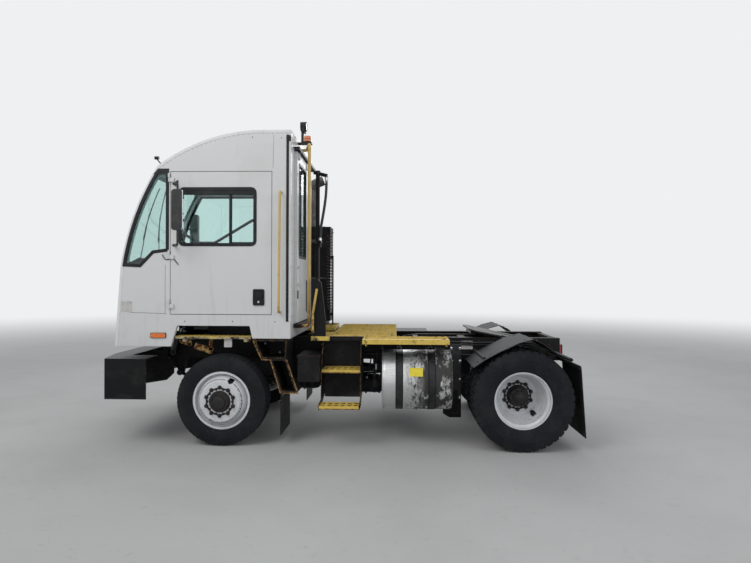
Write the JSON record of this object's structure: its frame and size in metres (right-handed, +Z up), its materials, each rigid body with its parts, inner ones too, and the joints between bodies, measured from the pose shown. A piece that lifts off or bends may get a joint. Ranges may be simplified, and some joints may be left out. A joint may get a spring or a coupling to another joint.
{
  "type": "terminal tractor",
  "caption": "Short yard tractor with an offset one-person tilting cab, twin-tyred drive axle and a lifting fifth wheel for moving trailers.",
  "frame": {"origin": "on the ground under the middle of the machine's bounding box", "axes": "+X forward, +Y to the driver's side, +Z up"},
  "size_m": [4.916, 2.497, 3.4449],
  "materials": {
    "frame_black": "satin black chassis paint",
    "bumper_black": "gloss black paint",
    "cab_white": "white cab paint",
    "hood_white": "white hood paint",
    "step_black": "satin black paint",
    "deck_yellow": "worn yellow safety paint",
    "rail_yellow": "yellow paint",
    "tank_metal": "polished, stained",
    "strap_steel": "black straps and brackets",
    "tyre_rubber": "road tyre rubber",
    "wheel_grey": "silver grey wheel paint with a black hub",
    "axle_iron": "black paint over cast iron",
    "engine_iron": "dark machine paint",
    "plastic_black": "moulded black plastic",
    "lamp_lens": "coloured lamp lenses",
    "fender_grey": "scuffed dark sheet",
    "flap_rubber": "black rubber flap",
    "seat_fabric": "dark seat cloth",
    "window_glass": "lightly tinted",
    "mirror_shell": "black shell with a mirror pane",
    "exhaust_steel": "heat-stained steel",
    "hose_rubber": "black air hose",
    "plate_steel": "greased black steel",
    "cylinder_steel": "black barrel",
    "rod_chrome": "chromed rod"
  },
  "bodies": {
    "chassis": {"frame": "frame_black", "front_bumper": "bumper_black", "chassis_lamps": "lamp_lens", "front_axle": "axle_iron", "front_springs": "frame_black", "rear_axle": "axle_iron", "drivetrain": "engine_iron", "engine_hood": "hood_white", "grille": "plastic_black", "aftertreatment_box": "step_black", "exhaust_pipe": "exhaust_steel", "deck_plates": "deck_yellow", "access_steps": "step_black", "fuel_tank": "tank_metal", "tank_straps": "strap_steel", "battery_box": "plastic_black", "side_tank": "frame_black", "mudflaps": "flap_rubber", "rear_fenders": "fender_grey", "cab_mounts": "frame_black", "hose_mast": "frame_black", "air_hose_left": "hose_rubber", "air_hose_right": "hose_rubber"},
    "cab": {"cab_floor": "plastic_black", "cab_left_wall": "cab_white", "cab_right_wall": "cab_white", "cab_rear_wall": "cab_white", "cab_front_wall": "cab_white", "cab_roof": "cab_white", "cab_windows": "window_glass", "driver_seat": "seat_fabric", "dashboard": "plastic_black", "steering_wheel": "plastic_black", "grab_rails": "rail_yellow", "cab_lamps": "lamp_lens", "right_mirror": "mirror_shell"},
    "cab_door": {"cab_door": "cab_white", "cab_door_glass": "window_glass", "door_mirror": "mirror_shell"},
    "rear_door": {"rear_door": "cab_white", "rear_door_glass": "window_glass"},
    "hood_lid": {"hood_lid": "hood_white"},
    "left_knuckle": {"knuckle_left": "axle_iron"},
    "right_knuckle": {"knuckle_right": "axle_iron"},
    "tie_rod": {"tie_rod": "axle_iron"},
    "front_left": {"front_left_tyre": "tyre_rubber", "front_left_wheel": "wheel_grey"},
    "front_right": {"front_right_tyre": "tyre_rubber", "front_right_wheel": "wheel_grey"},
    "rear_left": {"rear_left_tyres": "tyre_rubber", "rear_left_wheels": "wheel_grey"},
    "rear_right": {"rear_right_tyres": "tyre_rubber", "rear_right_wheels": "wheel_grey"},
    "boom": {"lift_boom": "frame_black"},
    "fifth_wheel": {"fifth_wheel": "plate_steel"},
    "lift_barrels": {"lift_barrels": "cylinder_steel"},
    "lift_rods": {"lift_rods": "rod_chrome"},
    "tilt_barrel": {"tilt_barrel": "cylinder_steel"},
    "tilt_rod": {"tilt_rod": "rod_chrome"}
  },
  "joints": [
    {"name": "cab_tilt", "type": "hinge", "parent": "chassis", "child": "cab", "pos_m": [2.154, 0.35852, 1.15], "axis": [0, 1, 0], "range_deg": [0, 45]},
    {"name": "cab_door_hinge", "type": "hinge", "parent": "cab", "child": "cab_door", "pos_m": [1.766, 1.04952, 2.08], "axis": [0, 0, -1], "range_deg": [0, 85]},
    {"name": "rear_door_slide", "type": "slide", "parent": "cab", "child": "rear_door", "axis": [0, -1, 0], "range_m": [0, 0.48]},
    {"name": "hood_lid_hinge", "type": "hinge", "parent": "chassis", "child": "hood_lid", "pos_m": [1.474, -1.06248, 1.664], "axis": [1, 0, 0], "range_deg": [0, 75]},
    {"name": "steer_left", "type": "hinge", "parent": "chassis", "child": "left_knuckle", "pos_m": [1.204, 0.85352, 0.465], "axis": [0, 0, 1], "range_deg": [-35, 35]},
    {"name": "steer_right", "type": "hinge", "parent": "chassis", "child": "right_knuckle", "pos_m": [1.204, -0.90648, 0.465], "axis": [0, 0, 1], "range_deg": [-35, 35]},
    {"name": "tie_rod_joint", "type": "hinge", "parent": "left_knuckle", "child": "tie_rod", "pos_m": [1.014, 0.85352, 0.402], "axis": [0, 0, 1], "range_deg": [-35, 35]},
    {"name": "front_left_spin", "type": "hinge", "parent": "left_knuckle", "child": "front_left", "pos_m": [1.204, 0.97352, 0.465], "axis": [0, 1, 0], "continuous": true},
    {"name": "front_right_spin", "type": "hinge", "parent": "right_knuckle", "child": "front_right", "pos_m": [1.204, -1.02648, 0.465], "axis": [0, 1, 0], "continuous": true},
    {"name": "rear_left_spin", "type": "hinge", "parent": "chassis", "child": "rear_left", "pos_m": [-1.844, 0.87352, 0.507], "axis": [0, 1, 0], "continuous": true},
    {"name": "rear_right_spin", "type": "hinge", "parent": "chassis", "child": "rear_right", "pos_m": [-1.844, -0.92648, 0.507], "axis": [0, 1, 0], "continuous": true},
    {"name": "boom_lift", "type": "hinge", "parent": "chassis", "child": "boom", "pos_m": [-0.696, -0.02648, 0.96], "axis": [0, 1, 0], "range_deg": [0, 25]},
    {"name": "fifth_wheel_tilt", "type": "hinge", "parent": "boom", "child": "fifth_wheel", "pos_m": [-1.696, -0.02648, 1], "axis": [0, 1, 0], "range_deg": [0, 12]},
    {"name": "lift_barrel_swing", "type": "hinge", "parent": "chassis", "child": "lift_barrels", "pos_m": [-1.076, -0.02648, 0.59], "axis": [0, 1, 0], "range_deg": [0, 13.45]},
    {"name": "lift_rod_slide", "type": "slide", "parent": "lift_barrels", "child": "lift_rods", "axis": [-0.4258, 0, 0.9048], "range_m": [0, 0.21486]},
    {"name": "tilt_barrel_swing", "type": "hinge", "parent": "chassis", "child": "tilt_barrel", "pos_m": [1.944, 0.47352, 0.88], "axis": [0, 1, 0], "range_deg": [0, 19.92]},
    {"name": "tilt_rod_slide", "type": "slide", "parent": "tilt_barrel", "child": "tilt_rod", "axis": [-0.3162, 0, 0.9487], "range_m": [0, 0.20512]}
  ],
  "couplings": [
    {"joint": "steer_right", "follows": "steer_left", "ratio": 1},
    {"joint": "tie_rod_joint", "follows": "steer_left", "ratio": -1},
    {"joint": "lift_barrel_swing", "follows": "boom_lift", "ratio": 0.5275},
    {"joint": "lift_rod_slide", "follows": "boom_lift", "m_per_rad": 0.48255},
    {"joint": "tilt_barrel_swing", "follows": "cab_tilt", "ratio": 0.43401},
    {"joint": "tilt_rod_slide", "follows": "cab_tilt", "m_per_rad": 0.25593}
  ]
}
